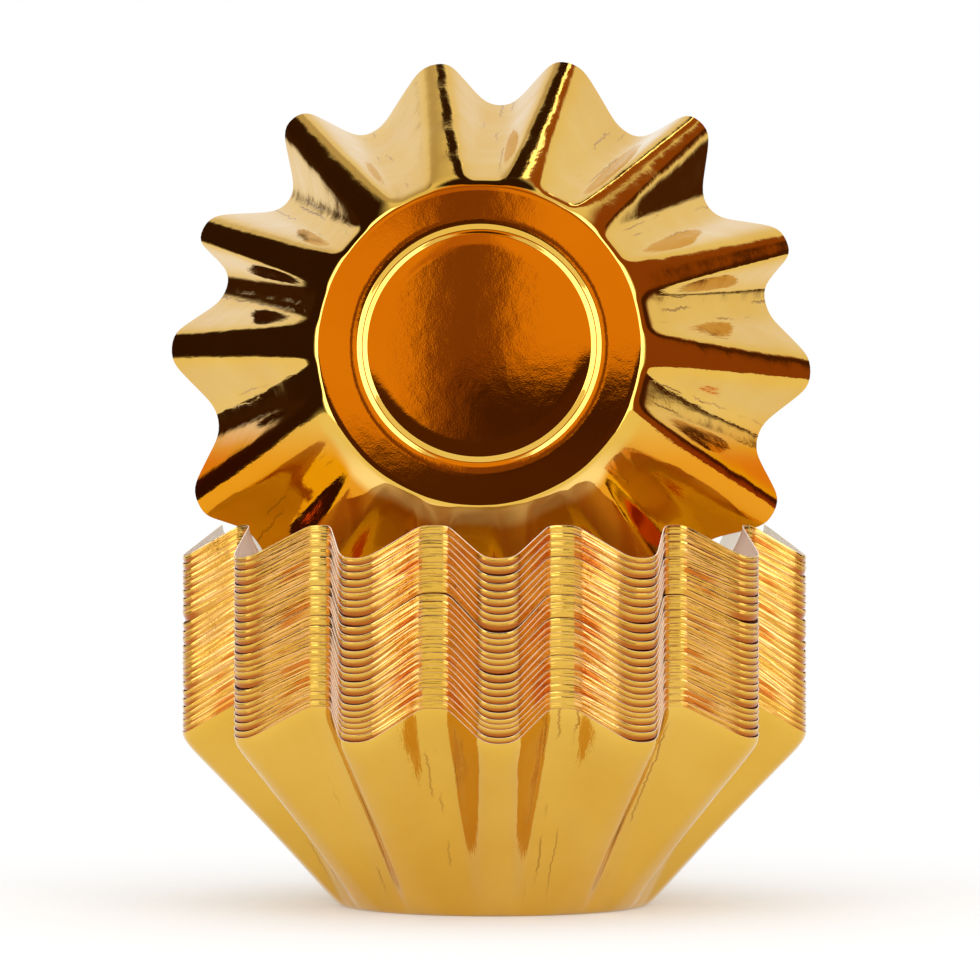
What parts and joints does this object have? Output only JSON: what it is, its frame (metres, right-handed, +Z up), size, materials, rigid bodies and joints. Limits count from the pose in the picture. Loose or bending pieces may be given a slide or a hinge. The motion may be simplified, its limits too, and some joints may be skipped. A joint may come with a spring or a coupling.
{
  "type": "stack of cupcake liners",
  "caption": "Nested stack of fluted, flared gold foil paper cupcake liners, with one more tipped on its side in the mouth of the top one, its base facing the front.",
  "frame": {"origin": "middle of the flat base that the stack stands on, on its underside", "axes": "+Z up, along the axis of the nested stack; -Y towards the side that the tipped liner's base faces; +X to the right seen from there"},
  "size_m": [0.1007, 0.1006, 0.1349],
  "materials": {
    "gold_foil_paper": "metallised gold foil, glossy, on the outside; plain white greaseproof paper on the inside and at the cut edge"
  },
  "bodies": {
    "root": {"liner_01": "gold_foil_paper", "liner_02": "gold_foil_paper", "liner_03": "gold_foil_paper", "liner_04": "gold_foil_paper", "liner_05": "gold_foil_paper", "liner_06": "gold_foil_paper", "liner_07": "gold_foil_paper", "liner_08": "gold_foil_paper", "liner_09": "gold_foil_paper", "liner_10": "gold_foil_paper", "liner_11": "gold_foil_paper", "liner_12": "gold_foil_paper", "liner_13": "gold_foil_paper", "liner_14": "gold_foil_paper", "liner_15": "gold_foil_paper", "liner_16": "gold_foil_paper", "liner_17": "gold_foil_paper", "liner_18": "gold_foil_paper", "liner_19": "gold_foil_paper", "liner_20": "gold_foil_paper", "liner_21": "gold_foil_paper", "liner_22": "gold_foil_paper", "liner_23": "gold_foil_paper", "liner_24": "gold_foil_paper", "liner_25": "gold_foil_paper", "liner_26": "gold_foil_paper", "tipped_liner": "gold_foil_paper"}
  },
  "joints": []
}
